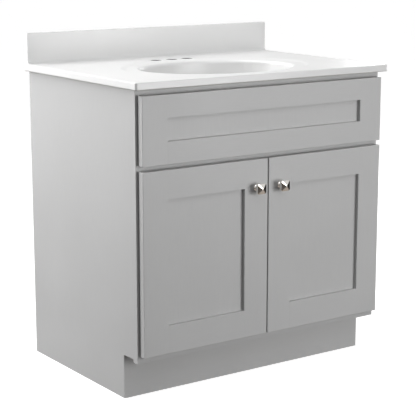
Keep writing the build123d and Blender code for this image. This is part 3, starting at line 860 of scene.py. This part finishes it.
def screws(material):
    quarter = math.pi / 2
    facing_back = (-quarter, 0, 0)
    tall_head, cup_head, plate_head = 2.2, 1.0, 1.6
    cup_reach, plate_reach = 22.5 * MM, 11 * MM  # middle of a hinge to its screws
    knob_screw = screw_shape(2.0, 4.0, tall_head, 30.0)
    cup_screw = screw_shape(1.6, 3.4, cup_head, 11.0)
    plate_screw = screw_shape(1.5, 3.2, plate_head, 14.0)
    front_screw = screw_shape(2.0, 4.0, tall_head, 35.0)
    for side, way in (("left", 1), ("right", -1)):
        low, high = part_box(side + "_door_knob_screw")
        spot = ((low.x + high.x) / 2, high.y - tall_head * MM, (low.z + high.z) / 2)
        set_copies(side + "_knob_machine_screw", side + "_door_knob_screw", knob_screw,
                   [spot], facing_back, material)
        low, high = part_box(side + "_hinge_cup_screws")
        heights = [sum(v.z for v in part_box(f"{side}_hinge_cup_{end}")) / 2
                   for end in ("bottom", "top")]
        places = [((low.x + high.x) / 2, high.y - cup_head * MM, z + step * cup_reach)
                  for z in heights for step in (-1, 1)]
        set_copies(side + "_cup_wood_screws", side + "_hinge_cup_screws", cup_screw,
                   places, facing_back, material)
        low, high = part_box(side + "_hinge_arm_screws")
        seat = high.x - plate_head * MM if way > 0 else low.x + plate_head * MM
        places = [(seat, (low.y + high.y) / 2, z + step * plate_reach)
                  for z in heights for step in (-1, 1)]
        set_copies(side + "_plate_wood_screws", side + "_hinge_arm_screws", plate_screw,
                   places, (0, way * quarter, 0), material)
    low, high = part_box("false_front_screws")
    inset = 4.0 * MM
    places = [(x, high.y - tall_head * MM, z) for x in (low.x + inset, high.x - inset)
              for z in (low.z + inset, high.z - inset)]
    set_copies("false_front_wood_screws", "false_front_screws", front_screw,
               places, facing_back, material)
    for pattern in (knob_screw, cup_screw, plate_screw, front_screw):
        bpy.data.objects.remove(pattern)


# ---- bumpers -------------------------------------------------------------------------
def bumpers(material):
    radius = 5.0
    pattern = ringed("bumper", round_rings([(radius, 0), (radius, 0.9), (4.85, 1.5), (4.4, 2.1),
                                            (3.6, 2.55), (2.4, 2.82), (1.1, 2.9)]), 40)
    smooth(pattern, 40)
    for side in ("left", "right"):
        node = side + "_door_bumpers"
        low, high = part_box(node)
        places = [((low.x + high.x) / 2, low.y, z)
                  for z in (low.z + radius * MM, high.z - radius * MM)]
        set_copies(side + "_domed_bumpers", node, pattern, places,
                   (-math.pi / 2, 0, 0), material)
    bpy.data.objects.remove(pattern)


# ---- finer copies of the cut pieces --------------------------------------------------
def finer_copy(node, edge_round, material, angle=40):
    """The node's own shape, its seams closed and its sharp edges just broken."""
    piece = twin(nodes[node], node + "_finished")
    take(piece)
    bpy.ops.object.parent_clear(type="CLEAR_KEEP_TRANSFORM")
    tidy_mesh(piece)
    open_mesh(piece)
    bpy.ops.mesh.select_all(action="SELECT")
    bpy.ops.mesh.dissolve_limited(angle_limit=math.radians(0.6))
    close_mesh()
    apply_modifier(piece, "BEVEL", width=edge_round * MM, segments=2, limit_method="ANGLE",
                   angle_limit=math.radians(angle))
    smooth(piece, 30)
    finish_piece(piece, [node], material)


# ---- everything together -------------------------------------------------------------
paint_upright = painted("grey_paint_upright", ALONG_Z)
paint_level = painted("grey_paint_level", ALONG_X)
side_finish = side_board()
kick_finish = painted("grey_kick_skin", ALONG_X, 0.48, 0.25)
floor_board = plain_board("board_level", (3, 60, 60), (0, 0, 1))
rail_board = plain_board("board_upright", (3, 60, 60), (0, 1, 0))
nickel = metal("nickel_plating", (0.72, 0.71, 0.69, 1), (60, 60, 500), 0.2, 0.12, 0.08)
pin_steel = metal("pin_steel", (0.62, 0.62, 0.63, 1), (500, 500, 40), 0.22, 0.1, 0.08)
zinc = metal("zinc_plating", (0.68, 0.7, 0.72, 1), (200, 200, 200), 0.26, 0.14, 0.1)
polished = metal("polished_nickel", (0.86, 0.83, 0.79, 1), (90, 90, 90), 0.06, 0.05, 0.03)
rubber = clear_rubber()
beech = dowel_wood()
gel_coat = cast_top()

vanity_top(gel_coat)
knobs(polished)
screws(zinc)
bumpers(rubber)

for node, source in sorted(nodes.items()):
    slot = slot_of[node]
    level = "rail" in node
    if slot in ("grey_frame", "grey_front"):
        finer_copy(node, 0.35, paint_level if level else paint_upright)
    elif node.startswith("side_panel"):
        finer_copy(node, 0.35, side_finish)
    elif node == "toe_kick_skin":
        finer_copy(node, 0.3, kick_finish)
    elif slot == "nickel_plate":
        finer_copy(node, 0.15, nickel, 50)
    elif slot == "hinge_pin":
        finer_copy(node, 0.2, pin_steel, 50)
    elif slot == "bare_board":
        flat = node.startswith(("cabinet_floor", "corner_brace"))
        source.material_slots[0].material = floor_board if flat else rail_board
    elif slot == "dowel_wood":
        source.material_slots[0].material = beech
    elif node == "false_front_spacers":
        source.material_slots[0].material = rubber


# ---- stage, lights and camera --------------------------------------------------------
def studio_floor():
    clear_selection()
    bpy.ops.mesh.primitive_plane_add(size=60)
    floor = bpy.context.object
    floor.name = "studio_floor"
    material, tree, shader = new_material("pale_floor", Specular_IOR_Level=0.2)
    cloud = noise(tree, even(tree), 2.0, 2.0, 0.5)
    colour = blend_colour(tree, from_noise(tree, cloud), grey(0.44), grey(0.46))
    surface(tree, shader, colour, 0.75)
    shader.inputs["Emission Color"].default_value = grey(1)
    shader.inputs["Emission Strength"].default_value = 0.86
    floor.data.materials.append(material)
    floor.visible_glossy = False
    floor.visible_diffuse = False


def soft_box(name, place, aim, size, power):
    """A square area light at a place, turned to look at a point."""
    light = bpy.data.lights.new(name, "AREA")
    light.energy = power
    light.shape = "SQUARE"
    light.size = size
    holder = bpy.data.objects.new(name, light)
    bpy.context.scene.collection.objects.link(holder)
    holder.location = place
    holder.rotation_euler = (Vector(aim) - Vector(place)).to_track_quat("-Z", "Y").to_euler()


def studio_light():
    world = bpy.data.worlds.new("studio")
    bpy.context.scene.world = world
    world.use_nodes = True
    tree = world.node_tree
    tree.nodes.clear()
    place = add(tree, "ShaderNodeTexCoord").outputs
    towards = split_axes(tree, place["Generated"])
    room = blend_colour(tree, span(tree, towards["Z"], 0.0, 0.9), grey(0.08), grey(0.27))
    room = blend_colour(tree, span(tree, towards["Z"], 0.05, -0.5), room, grey(0.1))
    # what polished pieces mirror: a bright ceiling, a dim floor and a dark wall on the right
    low = blend_colour(tree, span(tree, towards["Z"], -0.3, -0.7),
                       (0.085, 0.075, 0.068, 1), (0.46, 0.41, 0.37, 1))
    mirrored = blend_colour(tree, span(tree, towards["Z"], -0.12, 0.2), low, grey(0.72))
    dark_wall = span(tree, towards["X"], 0.8, 0.96)
    mirrored = blend_colour(tree, dark_wall, mirrored, grey(0.03))
    ray = add(tree, "ShaderNodeLightPath").outputs
    colour = blend_colour(tree, ray["Is Glossy Ray"], room, mirrored)
    colour = blend_colour(tree, ray["Is Camera Ray"], colour, grey(1))
    backdrop = add(tree, "ShaderNodeBackground")
    tree.links.new(colour, backdrop.inputs["Color"])
    out = add(tree, "ShaderNodeOutputWorld")
    tree.links.new(backdrop.outputs[0], out.inputs["Surface"])
    middle_of_front, middle_of_body = (0, -0.2, 0.45), (0, 0, 0.5)
    soft_box("front_right", (1.3, -3.36, 0.64), middle_of_front, 1.9, 76)
    soft_box("front_high", (-0.2, -2.55, 3.0), middle_of_front, 1.9, 17)
    soft_box("side_high", (-2.55, 1.47, 2.15), middle_of_body, 1.5, 29)
    soft_box("side_low", (-2.93, 1.69, 0.75), middle_of_body, 1.5, 50)
    soft_box("right_side", (2.9, 1.6, 1.0), middle_of_body, 1.5, 42)
    soft_box("back_low", (-1.94, 2.77, 0.75), middle_of_body, 1.5, 16)
    soft_box("back", (-1.3, 1.7, 2.7), (0, 0, 0.8), 1.5, 42)
    soft_box("overhead", (-0.5, 0.25, 3.6), (0, 0, 0.8), 1.5, 46)


studio_floor()
studio_light()

camera_data = bpy.data.cameras.new("camera")
camera = bpy.data.objects.new("camera", camera_data)
bpy.context.scene.collection.objects.link(camera)
bpy.context.scene.camera = camera
camera_data.sensor_width = 36.0
camera_data.lens = 114.8
camera_data.clip_end = 100
yaw, pitch = 0.6089, 0.2052
camera.location = (-2.0141, -2.8849, 1.1436)
camera.rotation_euler = (math.pi / 2 - pitch, 0, -yaw)
bpy.context.scene.view_settings.view_transform = "Standard"
